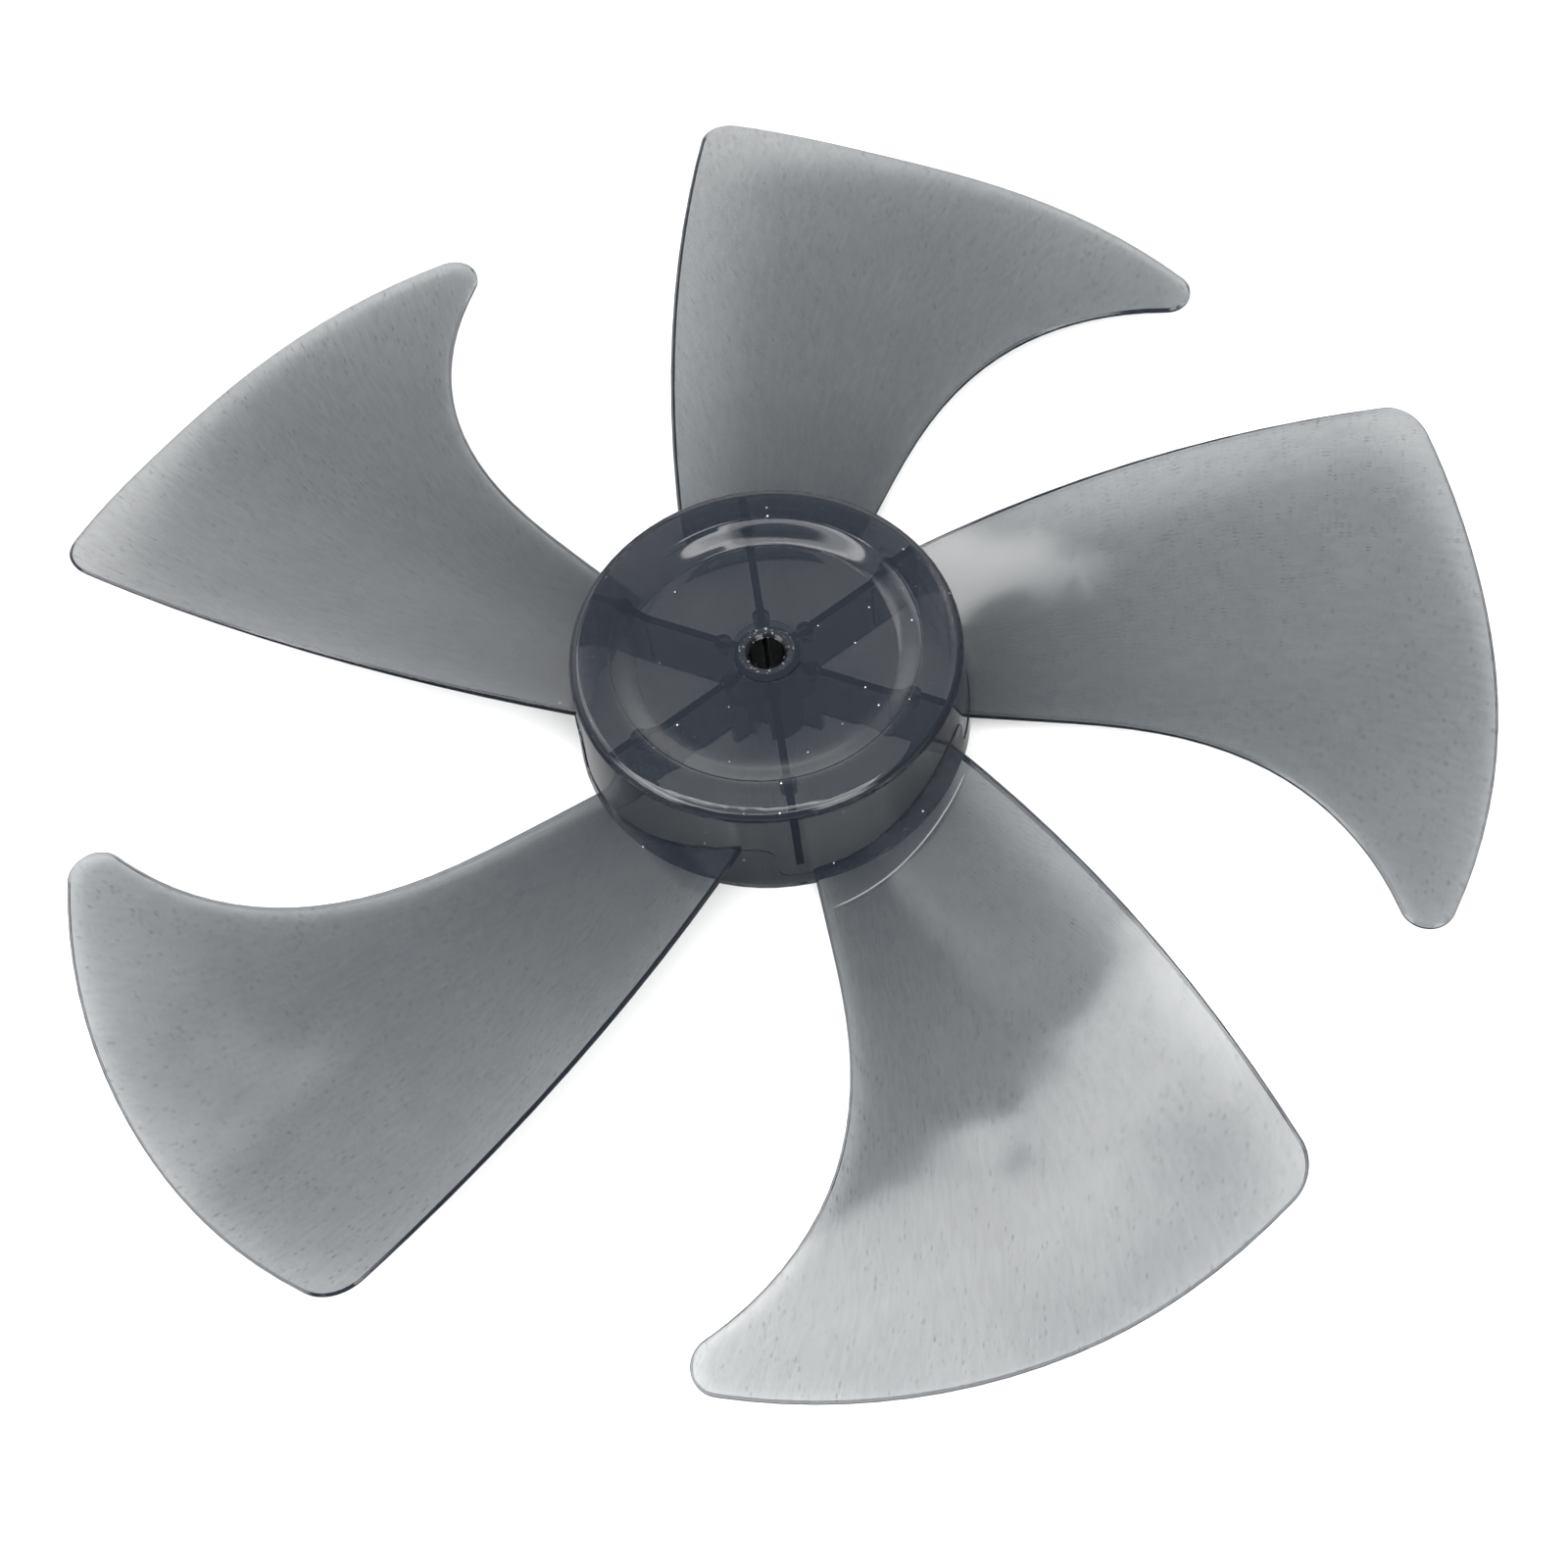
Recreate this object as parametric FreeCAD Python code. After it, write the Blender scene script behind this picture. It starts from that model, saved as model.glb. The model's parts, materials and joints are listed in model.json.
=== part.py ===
import FreeCAD, Part
import math
import os
from FreeCAD import Vector

# Five-bladed fan impeller for a pedestal fan, moulded in one piece.
# Millimetres. +Z is the front, where the air is blown to and the hub is closed.
# The origin is on the shaft axis, in the plane of the skirt's back rim.

# Overall sizes
overall_diameter = 340.0
blade_count = 5
first_blade_angle = 10.0

# Hub: a cup, open at the back, with a shallow recess in its face
hub_height = 30.0
hub_back_diameter = 91.0
skirt_draft_angle = 2.0
skirt_wall = 2.0
face_wall = 2.2
rim_rounding = 2.8
face_land_width = 9.2
recess_slope_width = 5.4
recess_depth = 2.7
recess_bevel = 0.3

# Shaft bore, the sleeve round it and the boss at its front
bore_diameter = 8.1
bore_mouth_bevel = 0.8
gate_ring_width = 1.35
gate_ring_depth = 0.3
boss_land_width = 1.9
boss_height = 0.7
sleeve_wall = 3.45
pin_slot_width = 4.2
pin_slot_depth = 7.0

# Ribs under the hub's face, each with two round pads and a foot beside the sleeve
rib_count = 6
first_rib_angle = 40.0
rib_thickness = 1.8
rib_back_gap = 7.5
rib_foot_diameter = 24.0
pad_diameter = 4.0
pad_height = 3.0
inner_pad_circle_diameter = 21.6

# Blade sheet: level at the leading side, rising to the trailing side
lead_height = 3.5
root_rise = 0.46
tip_rise = 0.36
root_bend_place = -0.8
tip_bend_place = 0.8
root_bend_softness = 9.0
tip_bend_softness = 25.5
blade_root_thickness = 3.0
blade_tip_thickness = 1.35
edge_bevel_share = 0.4

# Blade outline, seen from the front, with angles counted from the blade's own axis
outer_edge_radius = 142.0
outer_edge_lean = 7.8
trail_root_angle = 37.9
trail_tip_angle = 15.7
trail_edge_radius = 410.0
lead_root_angle = 14.6
lead_straight_length = 19.0
lead_sweep_angle = 26.2
lead_sweep_power = 2.4
trail_corner_rounding = 10.0
lead_tip_rounding = 6.5

# Mould parting step on the skirt, between one blade and the next
parting_step = 0.25
parting_upper_rounding = 4.0
parting_lower_rounding = 3.2

# Sizes that follow from the ones above
overall_radius = overall_diameter / 2
hub_back_radius = hub_back_diameter / 2
bore_radius = bore_diameter / 2
bore_mouth_radius = bore_radius + bore_mouth_bevel
gate_ring_radius = bore_mouth_radius + gate_ring_width
boss_radius = gate_ring_radius + boss_land_width
sleeve_radius = bore_radius + sleeve_wall
recess_floor_height = hub_height - recess_depth
boss_top = recess_floor_height + boss_height
gate_ring_floor = boss_top - gate_ring_depth
edge_bevel = edge_bevel_share * blade_tip_thickness
blade_pitch = 360.0 / blade_count
rib_pitch = 360.0 / rib_count
blade_angles = [first_blade_angle + blade_pitch * number for number in range(blade_count)]
rib_angles = [first_rib_angle + rib_pitch * number for number in range(rib_count)]
origin = Vector(0, 0, 0)
axis = Vector(0, 0, 1)


def skirt_radius(height, inset=0.0):
    """Radius of the skirt at a height, a given distance in from its outer face."""
    return hub_back_radius - inset - height * math.tan(math.radians(skirt_draft_angle))


def polar(radius, angle):
    """Point in the plane of the back rim at a radius and an angle in degrees."""
    turn = math.radians(angle)
    return Vector(radius * math.cos(turn), radius * math.sin(turn), 0)


def turned_copies(shape, angles):
    """Copies of the shape, turned about the shaft axis."""
    copies = []
    for angle in angles:
        copy = shape.copy()
        copy.rotate(origin, axis, angle)
        copies.append(copy)
    return copies


def revolved(points):
    """A solid of revolution about the shaft axis from (radius, height) points."""
    corners = [Vector(radius, 0, height) for radius, height in points]
    face = Part.Face(Part.makePolygon(corners + corners[:1]))
    return face.revolve(origin, axis, 360)


def rings(shape, radius, height):
    """The circular edges of the shape at a radius and a height."""
    found = []
    for edge in shape.Edges:
        if isinstance(edge.Curve, Part.Circle):
            centre = edge.Curve.Center
            if abs(edge.Curve.Radius - radius) + abs(centre.z - height) < 0.01:
                found.append(edge)
    return found


# Hub shell with the sleeve: outside from the back rim to the bore, then the inside back again
rim_radius = skirt_radius(hub_height)
recess_top_radius = rim_radius - face_land_width
recess_floor_radius = recess_top_radius - recess_slope_width
face_inside = hub_height - face_wall
floor_inside = recess_floor_height - face_wall
hub = revolved([
    (hub_back_radius, 0),
    (rim_radius, hub_height),
    (recess_top_radius, hub_height),
    (recess_floor_radius, recess_floor_height),
    (boss_radius, recess_floor_height),
    (boss_radius, boss_top),
    (gate_ring_radius, boss_top),
    (gate_ring_radius, gate_ring_floor),
    (bore_mouth_radius, gate_ring_floor),
    (bore_radius, gate_ring_floor - bore_mouth_bevel),
    (bore_radius, 0),
    (sleeve_radius, 0),
    (sleeve_radius, floor_inside),
    (recess_floor_radius, floor_inside),
    (recess_top_radius, face_inside),
    (skirt_radius(face_inside, skirt_wall), face_inside),
    (skirt_radius(0, skirt_wall), 0),
])
hub = hub.makeFillet(rim_rounding, rings(hub, rim_radius, hub_height))
hub = hub.makeChamfer(recess_bevel, rings(hub, recess_top_radius, hub_height))

# Slot across the back end of the sleeve for the shaft's drive pin, midway between two ribs
slot_length = 2 * sleeve_radius + pin_slot_width
slot = Part.makeBox(slot_length, pin_slot_width, pin_slot_depth)
slot.translate(Vector(-slot_length / 2, -pin_slot_width / 2, 0))
hub = hub.cut(turned_copies(slot, [first_rib_angle + rib_pitch / 2]))

# Ribs and pads, ending in the middle of the hub's walls
half_face = face_wall / 2
half_skirt = skirt_wall / 2
half_sleeve = sleeve_wall / 2
rib_space = revolved([
    (bore_radius + half_sleeve, 0),
    (rib_foot_diameter / 2, 0),
    (rib_foot_diameter / 2, rib_back_gap),
    (skirt_radius(rib_back_gap, half_skirt), rib_back_gap),
    (skirt_radius(hub_height - half_face, half_skirt), hub_height - half_face),
    (recess_top_radius, hub_height - half_face),
    (recess_floor_radius, recess_floor_height - half_face),
    (bore_radius + half_sleeve, recess_floor_height - half_face),
])
rib = Part.makeBox(hub_back_radius, rib_thickness, hub_height)
rib.translate(Vector(0, -rib_thickness / 2, 0))
inner_pad = Part.makeCylinder(pad_diameter / 2, hub_height)
inner_pad.translate(Vector(inner_pad_circle_diameter / 2, 0, floor_inside - pad_height))
outer_pad = Part.makeCylinder(pad_diameter / 2, hub_height)
outer_pad.translate(Vector(recess_top_radius, 0, face_inside - pad_height))
rib = rib.fuse([inner_pad, outer_pad]).common(rib_space)
ribs = turned_copies(rib, rib_angles)


def sheet(along, across):
    """Height and slope of the blade's middle sheet: level, a soft bend, then a steady rise."""
    share = along / overall_radius
    rise = root_rise + share * (tip_rise - root_rise)
    place = root_bend_place + share * (tip_bend_place - root_bend_place)
    softness = root_bend_softness + share * (tip_bend_softness - root_bend_softness)
    past_bend = across - place
    reach = math.hypot(past_bend, softness)
    height = lead_height + rise / 2 * (past_bend + reach)
    slope = rise / 2 * (1 + past_bend / reach)
    return height, slope


def spline(points):
    """A smooth edge through the points."""
    curve = Part.BSplineCurve()
    curve.interpolate(points)
    return curve.toShape()


def sheet_section(along, thickness):
    """Closed section across the sheet, wider than the blade's outline on both sides."""
    front = []
    back = []
    spacing = overall_radius / 10
    for step in range(-8, 6):
        across = spacing * step
        height, slope = sheet(along, across)
        tilt = math.atan(slope)
        middle = Vector(along, across, height)
        half = Vector(0, -math.sin(tilt), math.cos(tilt)) * (thickness / 2)
        front.append(middle + half)
        back.append(middle - half)
    return Part.Wire([
        spline(front),
        Part.makeLine(front[-1], back[-1]),
        spline(back[::-1]),
        Part.makeLine(back[0], front[0]),
    ])


def lead_point(share):
    """Point of the leading edge, from the end of its straight part (0) to the outer radius (1)."""
    start = hub_back_radius + lead_straight_length
    radius = start + share * (overall_radius - start)
    return polar(radius, -lead_root_angle - lead_sweep_angle * share ** lead_sweep_power)


# Outline block of a blade: inside the circles of its outer edge and its trailing edge
block_height = overall_radius
block_base = Vector(0, 0, -block_height / 2)
outer_centre = polar(overall_radius - outer_edge_radius, outer_edge_lean)
block = Part.makeCylinder(outer_edge_radius, block_height, outer_centre + block_base)
trail_root = polar(hub_back_radius, trail_root_angle)
trail_tip = polar(overall_radius, trail_tip_angle)
chord = trail_tip - trail_root
towards_centre = Vector(chord.y, -chord.x, 0).normalize()
centre_distance = math.sqrt(trail_edge_radius ** 2 - (chord.Length / 2) ** 2)
trail_centre = (trail_root + trail_tip) * 0.5 + towards_centre * centre_distance
block = block.common(Part.makeCylinder(trail_edge_radius, block_height, trail_centre + block_base))

# What lies before the leading edge is cut away: a straight root, then a forward sweep
lead_steps = 4
lead_points = [lead_point(step / lead_steps) for step in range(lead_steps + 2)]
lead_curve = Part.BSplineCurve()
lead_curve.interpolate(
    Points=lead_points,
    InitialTangent=polar(1, -lead_root_angle),
    FinalTangent=(lead_points[-1] - lead_points[-2]).normalize(),
)
far = 3 * overall_radius
corners = [lead_points[-1], polar(far, -90), polar(far, 180), origin, lead_points[0]]
before_lead = Part.Face(Part.Wire([lead_curve.toShape()] + Part.makePolygon(corners).Edges))
before_lead.translate(block_base)
block = block.cut(before_lead.extrude(axis * block_height))


def round_corner(shape, near, radius):
    """The block with its upright edge nearest to a point rounded."""
    upright = []
    for edge in shape.Edges:
        ends = edge.Vertexes[0].Point - edge.Vertexes[-1].Point
        if abs(ends.z) > block_height / 2:
            upright.append(edge)
    nearest = min(upright, key=lambda edge: math.hypot(
        edge.CenterOfMass.x - near.x, edge.CenterOfMass.y - near.y))
    return shape.makeFillet(radius, [nearest])


block = round_corner(block, trail_tip, trail_corner_rounding)
block = round_corner(block, lead_point(1), lead_tip_rounding)

# Blade: the sheet inside the block, with bevelled edges, ending in the middle of the skirt's wall
past_tips = overall_radius + blade_tip_thickness
ends = [sheet_section(0, blade_root_thickness), sheet_section(past_tips, blade_tip_thickness)]
blade = Part.makeLoft(ends, True, True).common(block).Solids[0]
sheet_faces = sorted(blade.Faces, key=lambda face: face.Area)[-2:]
sheet_edges = sheet_faces[0].Edges + sheet_faces[1].Edges
rim_edges = [edge for edge in sheet_edges if edge.CenterOfMass.x > blade_root_thickness]
blade = blade.makeChamfer(edge_bevel, rim_edges)
skirt_middle = Part.makeCone(
    skirt_radius(0, half_skirt), skirt_radius(hub_height, half_skirt), hub_height)
blades = turned_copies(blade.cut(skirt_middle), blade_angles)

# Parting step: the skirt's lower part stands proud, up to a line along each blade's root that
# drops in a rounded step to the next blade. Drawn square on to a gap between two blades.
gap_middle_angle = (trail_root_angle + blade_pitch - lead_root_angle) / 2


def root_point(angle, blade_angle):
    """Point of the drawing on the skirt at an angle, on the root of the blade at another."""
    on_skirt = polar(hub_back_radius, angle - blade_angle)
    sideways = hub_back_radius * math.sin(math.radians(angle - gap_middle_angle))
    return Vector(0, sideways, sheet(on_skirt.x, on_skirt.y)[0])


def bow(start, corner, end):
    """A quarter arc from start to end that rounds off the corner."""
    middle = (start + end) * 0.5
    return Part.Arc(start, corner + (middle - corner) * (2 - math.sqrt(2)), end).toShape()


half_span = (trail_root_angle + lead_root_angle) / 2
shares = [0, 0.3, 0.6, 1.1]
trailing_line = [root_point(trail_root_angle - half_span * share, 0) for share in shares[::-1]]
leading_line = [
    root_point(blade_pitch - lead_root_angle + half_span * share, blade_pitch) for share in shares]
high = trailing_line[-1].z
low = leading_line[0].z
step_start = Vector(0, -parting_upper_rounding, high)
step_upper = Vector(0, 0, high - parting_upper_rounding)
step_lower = Vector(0, 0, low + parting_lower_rounding)
step_end = Vector(0, parting_lower_rounding, low)
over = Vector(0, 0, hub_height)
above_line = Part.Face(Part.Wire(
    Part.makePolygon(trailing_line + [step_start]).Edges
    + [bow(step_start, Vector(0, 0, high), step_upper)]
    + [Part.makeLine(step_upper, step_lower)]
    + [bow(step_lower, Vector(0, 0, low), step_end)]
    + Part.makePolygon([step_end] + leading_line).Edges
    + Part.makePolygon([leading_line[-1], leading_line[-1] + over, trailing_line[0] + over,
                        trailing_line[0]]).Edges
))
above_line = above_line.extrude(Vector(2 * hub_back_radius, 0, 0))
band = Part.makeCone(
    skirt_radius(0, -parting_step), skirt_radius(hub_height, -parting_step), hub_height)
band = band.cut([skirt_middle] + turned_copies(
    above_line, [angle + gap_middle_angle for angle in blade_angles]))

# One moulded piece
impeller = hub.fuse(ribs + [band] + blades).removeSplitter().Solids[0]
os.makedirs("parts", exist_ok=True)
impeller.exportStep("parts/impeller.step")
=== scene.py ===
# %% [markdown]
# A fan impeller in smoke-grey plastic
#
# The part is one see-through moulding: a cup-shaped hub and five blades. Its shape comes whole from the CAD
# frame, so nothing is modelled twice here. What Blender adds is the finish, which is the hard half of this
# object: the plastic lets light through, darkens where it is thick, and mirrors the studio on top.

# %% The frame and its tools
import json
import math
import bpy
from mathutils import Matrix, Vector

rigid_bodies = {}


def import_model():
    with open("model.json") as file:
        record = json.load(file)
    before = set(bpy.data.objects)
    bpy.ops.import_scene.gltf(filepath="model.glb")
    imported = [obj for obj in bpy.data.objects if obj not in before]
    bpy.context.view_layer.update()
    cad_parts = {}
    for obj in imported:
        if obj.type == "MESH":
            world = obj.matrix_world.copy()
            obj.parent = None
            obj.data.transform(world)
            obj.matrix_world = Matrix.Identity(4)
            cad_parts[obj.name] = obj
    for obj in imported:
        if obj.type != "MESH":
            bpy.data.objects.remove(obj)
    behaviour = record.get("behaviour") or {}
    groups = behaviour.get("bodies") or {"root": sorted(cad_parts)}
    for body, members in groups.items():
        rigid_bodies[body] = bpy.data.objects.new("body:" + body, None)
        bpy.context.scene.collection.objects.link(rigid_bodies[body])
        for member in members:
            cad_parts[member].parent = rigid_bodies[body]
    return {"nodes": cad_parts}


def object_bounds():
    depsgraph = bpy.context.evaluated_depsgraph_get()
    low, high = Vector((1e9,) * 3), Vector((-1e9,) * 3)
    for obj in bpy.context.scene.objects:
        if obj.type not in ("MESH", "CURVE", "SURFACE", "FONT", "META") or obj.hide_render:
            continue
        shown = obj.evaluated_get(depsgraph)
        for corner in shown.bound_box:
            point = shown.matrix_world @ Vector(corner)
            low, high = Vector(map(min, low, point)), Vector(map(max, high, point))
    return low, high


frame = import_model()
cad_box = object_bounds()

impeller = frame["nodes"]["impeller"]
print("impeller:", len(impeller.data.polygons), "faces, box", [tuple(corner) for corner in cad_box])

# %% [markdown]
# Colours on screen
#
# The object stands on pure white. The Standard view lets a brightly lit floor reach that white; the film-like
# default would hold it back to a light grey.

# %% View
bpy.context.scene.view_settings.view_transform = "Standard"
print("view:", bpy.context.scene.view_settings.view_transform)

# %% [markdown]
# A helper for shader nodes
#
# Every finish is a chain of nodes. Nodes could be made and linked one line at a time, but the chains here are
# long. One short function that makes a node, sets its values and links its inputs keeps each chain as easy to
# read as a formula.

# %% Node helper
def add_node(tree, kind, settings=None, **inputs):
    """A new node. Inputs are values or sockets, named by socket with _ for spaces, or i0, i1 by number."""
    node = tree.nodes.new(kind)
    for name, value in (settings or {}).items():
        setattr(node, name, value)
    for name, value in inputs.items():
        key = int(name[1:]) if name[0] == "i" and name[1:].isdigit() else name.replace("_", " ")
        socket = node.inputs[key]
        if isinstance(value, bpy.types.NodeSocket):
            tree.links.new(value, socket)
        else:
            socket.default_value = value
    return node


print("node helper ready")

# %% [markdown]
# Helpers for sums
#
# Patterns are sums of masks. Blender has one node for each plus and times, which soon hides what is meant. These
# helpers take as many values as a formula has and hand back the socket with the result.

# %% Sum helpers
def math_node(tree, operation, first, second=0.0):
    """The result socket of one sum."""
    return add_node(tree, "ShaderNodeMath", {"operation": operation}, i0=first, i1=second).outputs[0]


def product(tree, first, *others):
    """All the values multiplied."""
    for other in others:
        first = math_node(tree, "MULTIPLY", first, other)
    return first


def total(tree, first, *others):
    """All the values added."""
    for other in others:
        first = math_node(tree, "ADD", first, other)
    return first


def away_from(tree, value, middle):
    """How far a value is from the middle, on either side."""
    return math_node(tree, "ABSOLUTE", math_node(tree, "SUBTRACT", value, middle))


print("sum helpers ready")

# %% [markdown]
# Helpers for ranges
#
# Most masks say where something starts and ends: a value mapped to a new range, a window that opens and closes
# again, or a profile through a few points. Each gets a name, so that the cells below say what they mean.

# %% Range helpers
def stretched(tree, value, low, high, new_low, new_high):
    """A value mapped from one range to another and held inside it."""
    node = add_node(tree, "ShaderNodeMapRange", {"clamp": True}, Value=value, From_Min=low, From_Max=high,
                    To_Min=new_low, To_Max=new_high)
    return node.outputs["Result"]


def window(tree, value, opens, open_by, closes, closed_by):
    """0, rising to 1 between the first two values and falling back to 0 between the last two."""
    return product(tree, stretched(tree, value, opens, open_by, 0.0, 1.0),
                   stretched(tree, value, closes, closed_by, 1.0, 0.0))


def profile_ramp(tree, value, low, high, profile):
    """The level at a value, from a list of (value, level) points between low and high."""
    ramp = add_node(tree, "ShaderNodeValToRGB", Fac=stretched(tree, value, low, high, 0.0, 1.0))
    stops = ramp.color_ramp.elements
    while len(stops) < len(profile):
        stops.new(1.0)
    for stop, (where, level) in zip(stops, profile):
        stop.position = (where - low) / (high - low)
        stop.color = (level, level, level, 1.0)
    return ramp.outputs["Color"]


print("range helpers ready")

# %% [markdown]
# The smoke plastic
#
# On the real part a thin blade lets about a third of the light through, two walls let a tenth through, and the
# ribs and the sleeve, seen end on, are nearly black and bluish. A see-through surface with a flat tint can't do
# that. A body of glass-like plastic with absorption inside it can, because the light fades with every
# millimetre. The surface is a Principled shader set to full transmission, and the volume takes up red most.

# %% Plastic: body
polished_roughness = 0.06
plastic = bpy.data.materials.new("smoke_plastic")
plastic.use_nodes = True
tree = plastic.node_tree
tree.nodes.clear()
body = add_node(tree, "ShaderNodeBsdfPrincipled", Roughness=polished_roughness, IOR=1.56, Transmission_Weight=1.0)
smoke = add_node(tree, "ShaderNodeVolumeAbsorption", Color=(0.0, 0.02, 0.015, 1.0), Density=540.0)
impeller.data.materials.clear()
impeller.data.materials.append(plastic)
print("plastic body:", len(tree.nodes), "nodes")

# %% [markdown]
# Where a point lies
#
# Everything on a turned or moulded wheel follows its axis, so the patterns are placed by three numbers: the
# reach from the axis, the turn round it and the height above the back rim. Object coordinates give them in
# metres, with no unwrapping.

# %% Plastic: reach, turn and height
place = add_node(tree, "ShaderNodeTexCoord").outputs["Object"]
axes = add_node(tree, "ShaderNodeSeparateXYZ", Vector=place)
height_up = axes.outputs["Z"]
turn = math_node(tree, "ARCTAN2", axes.outputs["Y"], axes.outputs["X"])
flat = add_node(tree, "ShaderNodeVectorMath", {"operation": "MULTIPLY"}, i0=place, i1=(1.0, 1.0, 0.0))
reach = add_node(tree, "ShaderNodeVectorMath", {"operation": "LENGTH"}, i0=flat.outputs[0]).outputs["Value"]
print("reach, turn and height ready")

# %% [markdown]
# Flow lines
#
# The melt ran from the hub outwards, and its grain still shows as fine streaks along each blade. Painting them
# isn't needed. A noise read in polar coordinates, squeezed along the flow, draws streaks that fan out by
# themselves. They lean over towards the tips, so the angle gets a share of the reach squared.

# %% Plastic: streaks
flow_lean = 6.7
true_reach = 0.10
lean = product(tree, reach, reach, flow_lean)
across = product(tree, total(tree, turn, lean), true_reach)


def along_flow(squeeze):
    """Flow coordinates in metres, true to scale 100 mm out, with the way along the flow squeezed."""
    return add_node(tree, "ShaderNodeCombineXYZ", X=across, Y=product(tree, reach, squeeze)).outputs[0]


streaks = add_node(tree, "ShaderNodeTexNoise", {"noise_dimensions": "2D"}, Vector=along_flow(0.14),
                   Scale=1100.0, Detail=3.0, Roughness=0.65)
streak_tone = stretched(tree, streaks.outputs["Fac"], 0.3, 0.7, 0.90, 1.0)
print("streaks along the flow ready")

# %% [markdown]
# Flecks
#
# Short dark dashes of unmixed pigment lie along the flow too. Scattered cells give them: each cell draws its own
# chance, and the chance cubed sets the dash's size, so most stay too small to see. Two sizes of cell keep them
# from looking like a pattern.

# %% Plastic: flecks
def fleck_tone(scale, squeeze, size, depth):
    """1 on clear plastic and less on flecks, most of them tiny."""
    cells = add_node(tree, "ShaderNodeTexVoronoi", {"voronoi_dimensions": "2D"}, Vector=along_flow(squeeze),
                     Scale=scale, Randomness=1.0)
    chance = add_node(tree, "ShaderNodeSeparateColor", Color=cells.outputs["Color"]).outputs[0]
    edge = product(tree, math_node(tree, "POWER", chance, 3.0), size)
    inside = math_node(tree, "SUBTRACT", edge, cells.outputs["Distance"])
    return stretched(tree, inside, 0.0, 0.04, 1.0, 1.0 - depth)


flecks = product(tree, fleck_tone(1200.0, 0.30, 0.24, 0.30), fleck_tone(2200.0, 0.28, 0.28, 0.22))
print("flecks in two sizes ready")

# %% [markdown]
# Tone and painted shade from place to place
#
# The plastic isn't equally dark all over. The hub is darkest, the blades clear up towards the tips, and
# their leading sides are lighter than their trailing sides; the recess's slope and the bore are darker again.
# The solid thins outwards, which gives part of that. The rest is a tint in the colour, and most of it is
# painted shade: the hub's cup is darkened for the shade inside it, the recess's slope and the bore for the
# shade that falls in them, and the blade roots next to the hub partly for the hub's shade and partly for
# their thicker plastic. A gentle tint by side darkens the outer trailing sides and lightens the leading sides.

# %% Plastic: tone and painted shade
blade_pitch_end = math.radians(34.0)
blade_pitch_start = math.radians(-38.0)
own_turn = add_node(tree, "ShaderNodeMath", {"operation": "WRAP"}, i0=turn, i1=blade_pitch_end,
                    i2=blade_pitch_start).outputs[0]
side_tone = stretched(tree, own_turn, math.radians(-26.0), math.radians(2.0), 0.10, -0.22)
outer_tone = product(tree, stretched(tree, reach, 0.09, 0.15, 0.0, 1.0), side_tone)
skirt_reach, root_reach, slope_middle = 0.0455, 0.047, 0.0325
# Painted shade: the hub's cup and skirt are darkened for the shade inside the hub.
hub_painted_shade = stretched(tree, reach, skirt_reach, root_reach, 0.66, 0.85)
# Partly painted shade of the hub on the blade roots, partly their thicker plastic: lighter outwards.
root_shade_and_thinning = stretched(tree, reach, root_reach, 0.10, 0.0, 0.10)
# Painted shade: a darker band on the recess's slope.
slope_painted_shade = stretched(tree, away_from(tree, reach, slope_middle), 0.0026, 0.0034, 0.86, 1.0)
# Painted shade: the bore is darkened to near black.
bore_painted_shade = stretched(tree, reach, 0.0042, 0.0046, 0.2, 1.0)
# These tints, painted shade included, multiply into the plastic's colour.
body_tone_and_painted_shade = product(tree, total(tree, hub_painted_shade, root_shade_and_thinning, outer_tone), slope_painted_shade, bore_painted_shade)
tone = product(tree, streak_tone, flecks, body_tone_and_painted_shade)
tint = add_node(tree, "ShaderNodeCombineColor", Red=tone, Green=tone, Blue=tone)
tree.links.new(tint.outputs[0], body.inputs["Base Color"])
print("tone of hub and blades linked")

# %% [markdown]
# Ripples and soft corners
#
# A moulded sheet is never quite flat, so the border of a mirrored lamp runs in waves. A low, wide bump gives
# these waves without moving the surface. The same bump softens the two corners of the hub's recess: the solid
# has a straight slope, and the difference between that slope and one with rounded ends, made by a smooth
# minimum and maximum, bends the reflections as a polished mould does.

# %% Plastic: relief
ripple = add_node(tree, "ShaderNodeTexNoise", Vector=place, Scale=30.0, Detail=1.0, Roughness=0.4)
wave_height = 0.0004
waves = product(tree, ripple.outputs["Fac"], wave_height)
slope_foot = 0.0299
slope_rise = 0.5
slope_depth = 0.0027
corner_softness = 0.0012


def soft_math(operation, first, second):
    """A minimum or maximum with a rounded corner."""
    node = add_node(tree, "ShaderNodeMath", {"operation": operation}, i0=first, i1=second, i2=corner_softness)
    return node.outputs[0]


up_slope = product(tree, math_node(tree, "SUBTRACT", reach, slope_foot), slope_rise)
sharp = math_node(tree, "MINIMUM", math_node(tree, "MAXIMUM", up_slope, 0.0), slope_depth)
soft = soft_math("SMOOTH_MIN", soft_math("SMOOTH_MAX", up_slope, 0.0), slope_depth)
relief = total(tree, waves, math_node(tree, "SUBTRACT", soft, sharp))
bump = add_node(tree, "ShaderNodeBump", Strength=1.0, Distance=1.0, Height=relief)
tree.links.new(bump.outputs[0], body.inputs["Normal"])
print("ripples and soft corners linked")

# %% [markdown]
# Dust
#
# A few bright specks lie on the real part, more on the hub than on the blades. Modelling grains would cost far
# more than they show. A sparse cell pattern marks a dot where a cell's own chance is high, and a white shader
# is mixed in there later.

# %% Plastic: dust
dust_cells = add_node(tree, "ShaderNodeTexVoronoi", Vector=place, Scale=420.0, Randomness=1.0)
dust_chance = add_node(tree, "ShaderNodeSeparateColor", Color=dust_cells.outputs["Color"]).outputs[1]
dust_size = product(tree, stretched(tree, dust_chance, 0.80, 1.0, 0.0, 1.0),
                    stretched(tree, reach, 0.046, 0.06, 0.10, 0.04))
specks = math_node(tree, "LESS_THAN", dust_cells.outputs["Distance"], dust_size)
print("dust specks ready")
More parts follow.
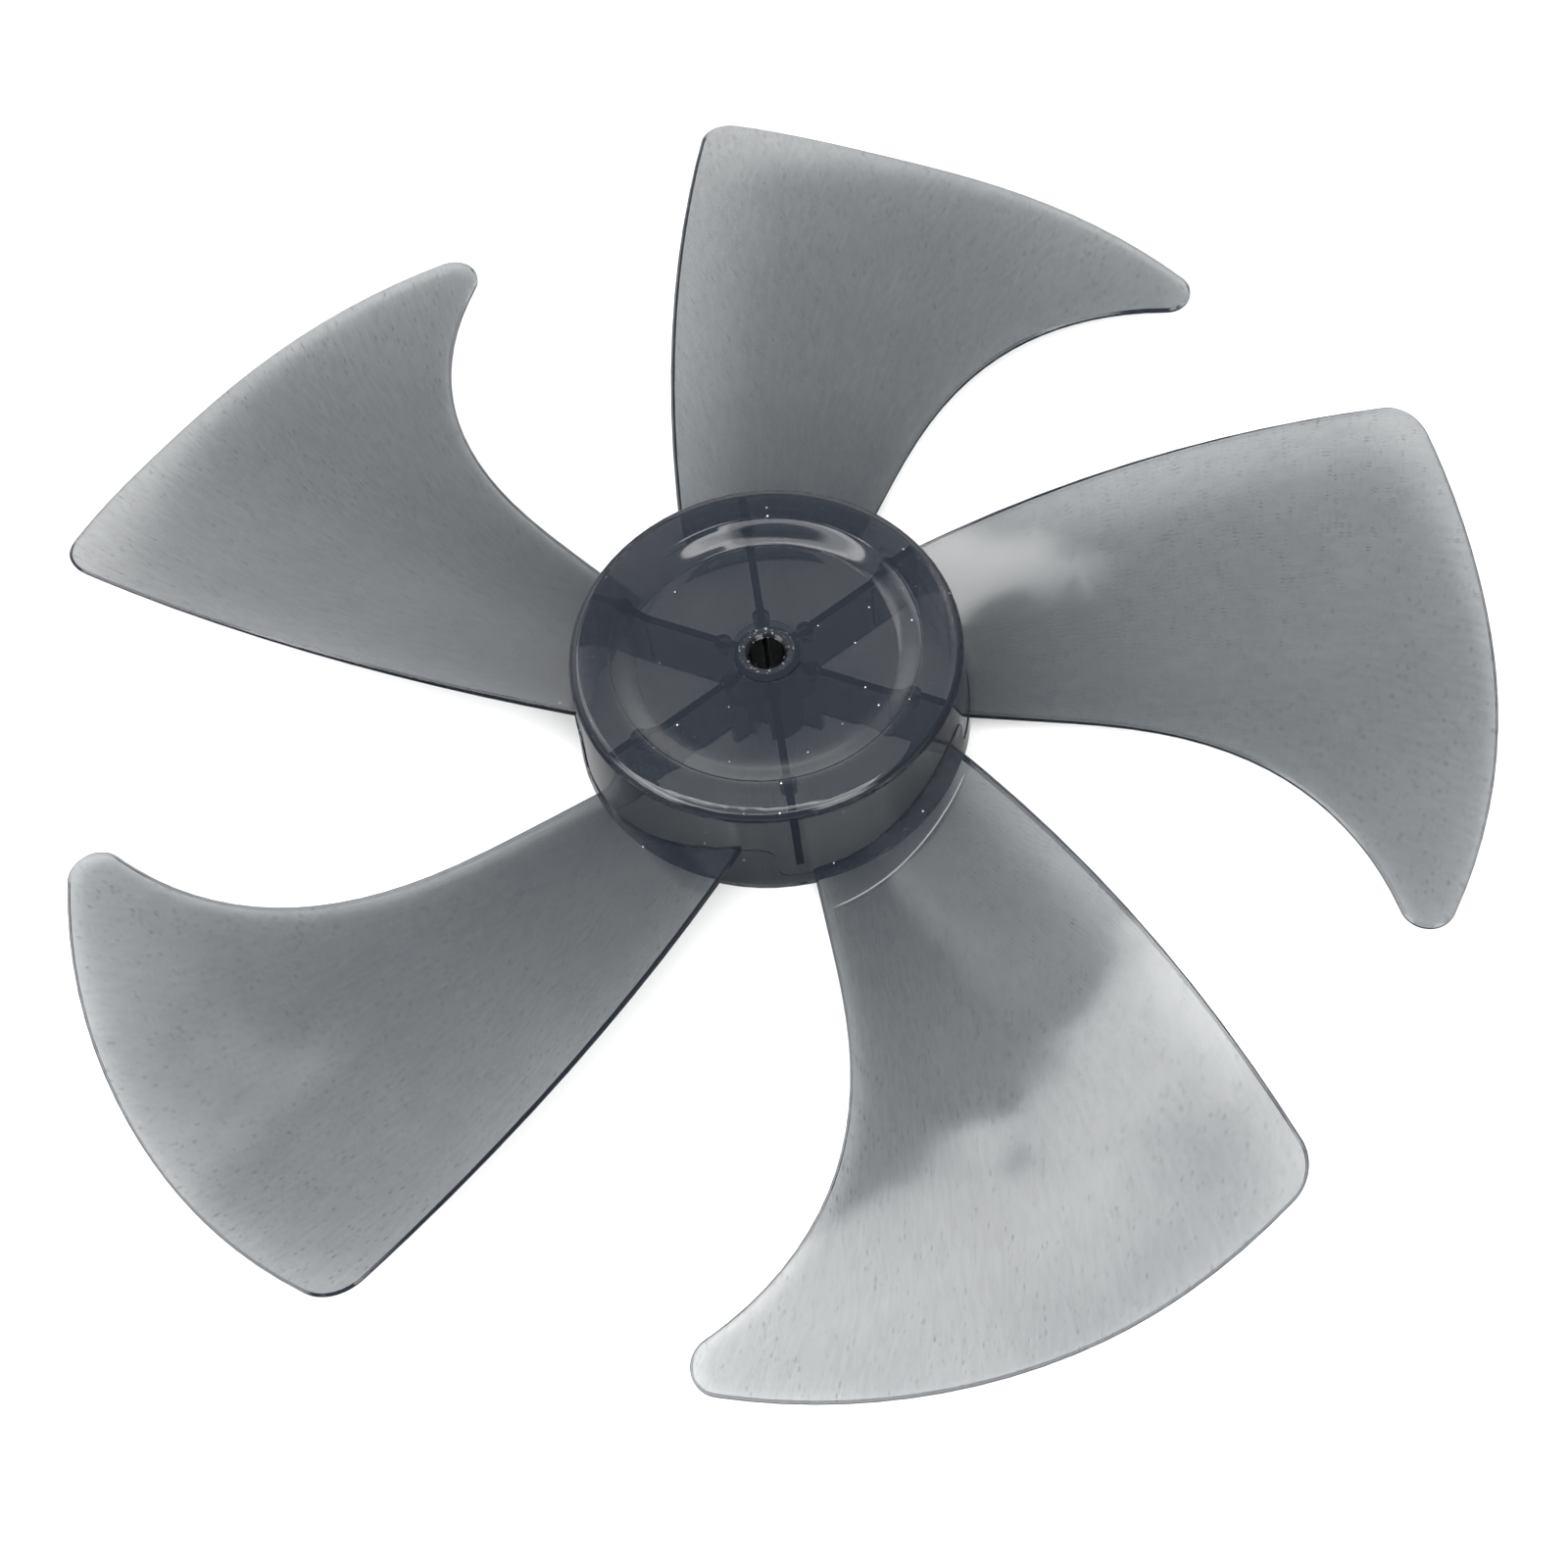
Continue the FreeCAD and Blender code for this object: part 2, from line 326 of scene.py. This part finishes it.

# %% [markdown]
# The trimmed gate
#
# The melt came in round the bore, and where the gate was cut off, the plastic is torn and rough. The ring is a
# step in the solid; its torn face is a rougher polish with pale specks from a fine noise, which stand partly for
# crumbs and partly for painted glints of the rough face.

# %% Plastic: gate ring
gate_edge, gate_level = 0.0062, 0.0266
gate_ring = product(tree, stretched(tree, reach, gate_edge, gate_edge + 0.0004, 1.0, 0.0),
                    stretched(tree, height_up, gate_level, gate_level + 0.0003, 0.0, 1.0))
torn = add_node(tree, "ShaderNodeTexNoise", Vector=place, Scale=1400.0, Detail=1.0)
# Pale specks on the torn ring: partly crumbs, partly painted glints of the rough face.
crumbs_and_glints = product(tree, gate_ring, stretched(tree, torn.outputs["Fac"], 0.62, 0.76, 0.0, 0.4))
torn_roughness = 0.22
gate_roughness = stretched(tree, gate_ring, 0.0, 1.0, polished_roughness, torn_roughness)
tree.links.new(gate_roughness, body.inputs["Roughness"])
print("gate ring linked")

# %% [markdown]
# A scuff
#
# One thin pale arc runs over the root of the near blade, where something has rubbed. It is a narrow band whose
# reach grows a little along the arc. The turn fades it at both ends, and the way the surface faces keeps it to
# the blade's upper side.

# %% Plastic: scuff
scuff_middle, scuff_half_turn, end_fade = -0.915, 0.39, 0.06
scuff_start, scuff_growth = 0.0489, -0.0055
scuff_core, scuff_edge, scuff_whiteness = 0.00012, 0.00024, 0.3
scuff_reach = total(tree, product(tree, turn, scuff_growth), scuff_start)
scuff_line = stretched(tree, away_from(tree, reach, scuff_reach), scuff_core, scuff_edge, scuff_whiteness, 0.0)
scuff_ends = stretched(tree, away_from(tree, turn, scuff_middle), scuff_half_turn - end_fade, scuff_half_turn,
                       1.0, 0.0)
facing = add_node(tree, "ShaderNodeSeparateXYZ", Vector=add_node(tree, "ShaderNodeNewGeometry").outputs["Normal"])
upper_side = stretched(tree, facing.outputs["Z"], 0.2, 0.3, 0.0, 1.0)
scuff = product(tree, scuff_line, scuff_ends, upper_side)
print("scuff ready")

# %% [markdown]
# Haze, the bore's painted shade, and the way out
#
# Smoke plastic scatters a little bluish light, which lifts its darkest parts off black; a very dark diffuse
# shader, added on top, does that. Inside the bore it fades out, as painted shade that keeps the bore dark.
# Dust, the scuff and the gate's crumbs, which are partly painted glints, mix in as white.
# Last, the lamps' own rays pass straight through the surface, so that they reach the floor under the blades,
# dimmed by the absorption alone. Without that step the floor would need slow caustics to be lit.

# %% Plastic: haze and output
# Painted shade: the haze fades out inside the bore, so the bore looks dark.
haze_bore_shade = stretched(tree, reach, 0.0043, 0.0052, 0.05, 1.0)
haze_blue = (0.0105, 0.013, 0.018)
haze_tint_with_bore_shade = add_node(tree, "ShaderNodeVectorMath", {"operation": "SCALE"}, i0=haze_blue, Scale=haze_bore_shade)
haze = add_node(tree, "ShaderNodeBsdfDiffuse", Color=haze_tint_with_bore_shade.outputs[0])
hazy_body = add_node(tree, "ShaderNodeAddShader", i0=body.outputs[0], i1=haze.outputs[0])
# Dust, the scuff and the gate's specks, which are partly painted glints, are mixed in as white.
pale_marks_and_glints = math_node(tree, "MAXIMUM", math_node(tree, "MAXIMUM", specks, crumbs_and_glints), scuff)
white_of_marks_and_glints = add_node(tree, "ShaderNodeBsdfDiffuse", Color=(0.55, 0.55, 0.55, 1.0))
with_marks_and_glints = add_node(tree, "ShaderNodeMixShader", i0=pale_marks_and_glints, i1=hazy_body.outputs[0], i2=white_of_marks_and_glints.outputs[0])
lamp_ray = add_node(tree, "ShaderNodeLightPath").outputs["Is Shadow Ray"]
clear = add_node(tree, "ShaderNodeBsdfTransparent")
surface = add_node(tree, "ShaderNodeMixShader", i0=lamp_ray, i1=with_marks_and_glints.outputs[0], i2=clear.outputs[0])
add_node(tree, "ShaderNodeOutputMaterial", Surface=surface.outputs[0], Volume=smoke.outputs[0])
print("plastic:", len(tree.nodes), "nodes")

# %% [markdown]
# Floor
#
# A plain pale floor lies just under the back rim. It is wide, so that it still fills the picture from low
# angles. A floor this wide would also be mirrored as a white sheet in the skirt and under the blades, which the
# real part doesn't show, so it is hidden from mirror rays.

# %% Floor
floor_half = 4.0
floor_drop = 0.0002
floor_mesh = bpy.data.meshes.new("floor")
floor_corners = [(-floor_half, -floor_half), (floor_half, -floor_half),
                 (floor_half, floor_half), (-floor_half, floor_half)]
floor_level = cad_box[0].z - floor_drop
floor_mesh.from_pydata([(x, y, floor_level) for x, y in floor_corners], [], [(0, 1, 2, 3)])
floor = bpy.data.objects.new("floor", floor_mesh)
bpy.context.scene.collection.objects.link(floor)
floor.visible_glossy = False
pale = bpy.data.materials.new("pale_floor")
pale.use_nodes = True
pale_shader = pale.node_tree.nodes["Principled BSDF"]
pale_shader.inputs["Base Color"].default_value = (0.86, 0.86, 0.86, 1.0)
pale_shader.inputs["Roughness"].default_value = 0.9
pale_shader.inputs["Specular IOR Level"].default_value = 0.0
floor_mesh.materials.append(pale)
print("floor:", 2 * floor_half, "m wide")

# %% [markdown]
# The soft box
#
# One big soft light hangs overhead, a little towards the camera. Its mirror image is the bright patch on the
# near blade, the glow on the right blade and the crescent in the hub's recess, so its place was found from where
# those patches end. It is a rectangle lamp, whose face doesn't shine evenly.

# %% Soft box
box_centre = Vector((-0.15, -0.225, 0.90))
box_size = (1.5, 1.05)
lamp = bpy.data.lights.new("soft_box", "AREA")
lamp.shape = "RECTANGLE"
lamp.size, lamp.size_y = box_size
lamp.energy = 28.0
soft_box = bpy.data.objects.new("soft_box", lamp)
soft_box.location = box_centre
bpy.context.scene.collection.objects.link(soft_box)
print("soft box:", box_size, "m across at", tuple(box_centre))

# %% [markdown]
# The edge of the shine
#
# The bright patch ends in a slanting line across the near blade, so the lamp's far edge is slanted too: a list of
# points gives its line, in metres across the lamp. Behind that edge the light rises quickly, holds and sinks, as
# on a diffuser. Cutting the lamp's outline from a mesh would do as well, but nodes that read the spot on the
# lamp's face can also be soft.

# %% Soft box: edge
lamp.use_nodes = True
shine = lamp.node_tree
spot = add_node(shine, "ShaderNodeNewGeometry").outputs["Position"]
on_box = add_node(shine, "ShaderNodeSeparateXYZ", Vector=spot)
edge_low, edge_high = -0.3, 0.3
edge_line = [(-0.60, 0.0), (-0.48, 0.05), (-0.35, 0.105), (-0.25, 0.142), (-0.15, 0.19), (-0.05, 0.24),
             (0.0, 0.25), (0.12, -0.05), (0.25, -0.02), (0.42, -0.06), (0.55, -0.3)]
edge_shares = [(x, (y - edge_low) / (edge_high - edge_low)) for x, y in edge_line]
lamp_left, lamp_right = -0.9, 0.6
edge_share = profile_ramp(shine, on_box.outputs["X"], lamp_left, lamp_right, edge_shares)
edge_y = stretched(shine, edge_share, 0.0, 1.0, edge_low, edge_high)
depth_in = math_node(shine, "SUBTRACT", edge_y, on_box.outputs["Y"])
depth_levels = [(0.0, 0.0), (0.022, 0.05), (0.034, 0.7), (0.045, 1.0), (0.096, 1.0), (0.18, 0.5)]
behind_edge = profile_ramp(shine, depth_in, 0.0, 0.6, depth_levels)
print("lamp edge:", len(edge_line), "points")

# %% [markdown]
# The dark middle
#
# The crescent in the hub's recess is bright at both ends and dark between them, so the lamp has a dark oval in its
# middle. The distance from the oval's centre, measured in its half-widths, is 1 on its border, which makes a soft
# border easy to set.

# %% Soft box: middle
oval_centre = (-0.15, -0.34)
oval_half = (0.33, 0.20)
oval_x = math_node(shine, "SUBTRACT", on_box.outputs["X"], oval_centre[0])
oval_y = math_node(shine, "SUBTRACT", on_box.outputs["Y"], oval_centre[1])
oval_way = add_node(shine, "ShaderNodeCombineXYZ", X=math_node(shine, "DIVIDE", oval_x, oval_half[0]),
                    Y=math_node(shine, "DIVIDE", oval_y, oval_half[1]))
oval = add_node(shine, "ShaderNodeVectorMath", {"operation": "LENGTH"}, i0=oval_way.outputs[0]).outputs["Value"]
shining = product(shine, behind_edge, stretched(shine, oval, 0.85, 1.15, 0.03, 1.0))
shine.links.new(shining, shine.nodes["Emission"].inputs["Strength"])
print("shine:", len(shine.nodes), "nodes")

# %% [markdown]
# Fill light
#
# The floor has to be white, and most of what shows through the blades is floor. A second wide lamp lifts it, and
# it is hidden from mirror rays, so that it adds light but no patch on the plastic.

# %% Fill
fill_lamp = bpy.data.lights.new("fill", "AREA")
fill_lamp.size = 1.6
fill_lamp.energy = 20.0
fill = bpy.data.objects.new("fill", fill_lamp)
fill.location = (0.0, -0.2, 1.1)
fill.visible_glossy = False
bpy.context.scene.collection.objects.link(fill)
print("fill:", fill_lamp.energy, "W")

# %% [markdown]
# The room: walls
#
# Clear plastic shows its surroundings, so the room matters as much as the lamps. Behind the part the walls are
# pale, with a darker strip that leaves an edge on the left blade; towards the camera and overhead it is dim.
# The brightness is a profile over the compass, in degrees from +X, times one over the height, the sine of the
# elevation. An environment picture could do the same, but a few points are easier to move.

# %% Room: walls
world = bpy.data.worlds.new("studio")
world.use_nodes = True
room = world.node_tree
room.nodes.clear()
heading = add_node(room, "ShaderNodeTexCoord").outputs["Generated"]
ways = add_node(room, "ShaderNodeSeparateXYZ", Vector=heading)
height = ways.outputs["Z"]
compass = math_node(room, "DEGREES", math_node(room, "ARCTAN2", ways.outputs["Y"], ways.outputs["X"]))
wall_levels = [(-180.0, 0.4), (-158.4, 0.12), (-21.6, 0.12), (29.9, 0.3), (50.4, 0.6), (69.8, 1.0), (108.0, 1.0),
               (114.1, 0.5), (124.6, 0.5), (128.9, 1.0), (154.8, 0.8), (180.0, 0.4)]
around = profile_ramp(room, compass, -180.0, 180.0, wall_levels)
wall_light, overhead_light = 1.35, 0.14
up_the_wall = product(room, stretched(room, height, 0.4, 0.85, wall_light, overhead_light),
                      stretched(room, height, 0.05, 0.25, 0.35, 1.0))
ground = stretched(room, height, -0.5, -0.2, 1.2, 1.0)
walls = product(room, up_the_wall, ground, around)
print("walls:", len(wall_levels), "points round the compass")

# %% [markdown]
# The room: panels and horizon
#
# Three bright panels stand in the room. One, high at the back left, lights the left blade; two, left and right of
# the camera, give the two strokes of light on the hub's near rim. A pale band at the horizon behind the camera is
# there for views from the other side.

# %% Room: panels
back_light, side_light, horizon_light = 2.0, 4.0, 0.75
back_panel = product(room, window(room, compass, 123.2, 130.1, 154.7, 171.9), back_light,
                     window(room, height, 0.62, 0.72, 0.83, 0.87))
side_levels = [(-180.0, 0.0), (-172.8, 0.0), (-163.8, 1.0), (-138.6, 1.0), (-129.6, 0.0), (-72.0, 0.0),
               (-64.8, 1.0), (-45.0, 1.0), (-36.0, 0.0)]
side_panels = product(room, profile_ramp(room, compass, -180.0, 180.0, side_levels), side_light,
                      window(room, height, 0.25, 0.35, 0.75, 0.85))
horizon = product(room, window(room, height, -0.15, -0.05, 0.06, 0.12), horizon_light,
                  stretched(room, compass, -17.2, 0.0, 1.0, 0.0))
glow = total(room, walls, back_panel, side_panels, horizon)
backdrop = add_node(room, "ShaderNodeBackground", Color=(1.0, 1.0, 1.0, 1.0), Strength=glow)
add_node(room, "ShaderNodeOutputWorld", Surface=backdrop.outputs[0])
bpy.context.scene.world = world
print("room:", len(room.nodes), "nodes")

# %% [markdown]
# Camera
#
# Five equal blades in one picture are five views of one shape, which fixes where the camera stood. The picture
# is cropped off centre, so the lens is shifted by the same amount. The camera's own axes are given as vectors,
# because a tilt about three axes is hard to read as angles.

# %% Camera
camera_place = Vector((0.053597, -0.324024, 0.532026))
camera_right = Vector((0.999971, -0.006499, -0.003992))
camera_up = Vector((0.007627, 0.852095, 0.523331))
camera_back = camera_right.cross(camera_up)
camera_data = bpy.data.cameras.new("camera")
camera_data.sensor_width = 36.0
camera_data.lens = 61.013
camera_data.shift_x = -0.1407
camera_data.shift_y = -0.0516
camera_data.clip_start = 0.01
camera = bpy.data.objects.new("camera", camera_data)
turned = Matrix((camera_right, camera_up, camera_back)).transposed()
camera.matrix_world = Matrix.Translation(camera_place) @ turned.to_4x4()
bpy.context.scene.collection.objects.link(camera)
bpy.context.scene.camera = camera
print("camera:", camera_data.lens, "mm lens")
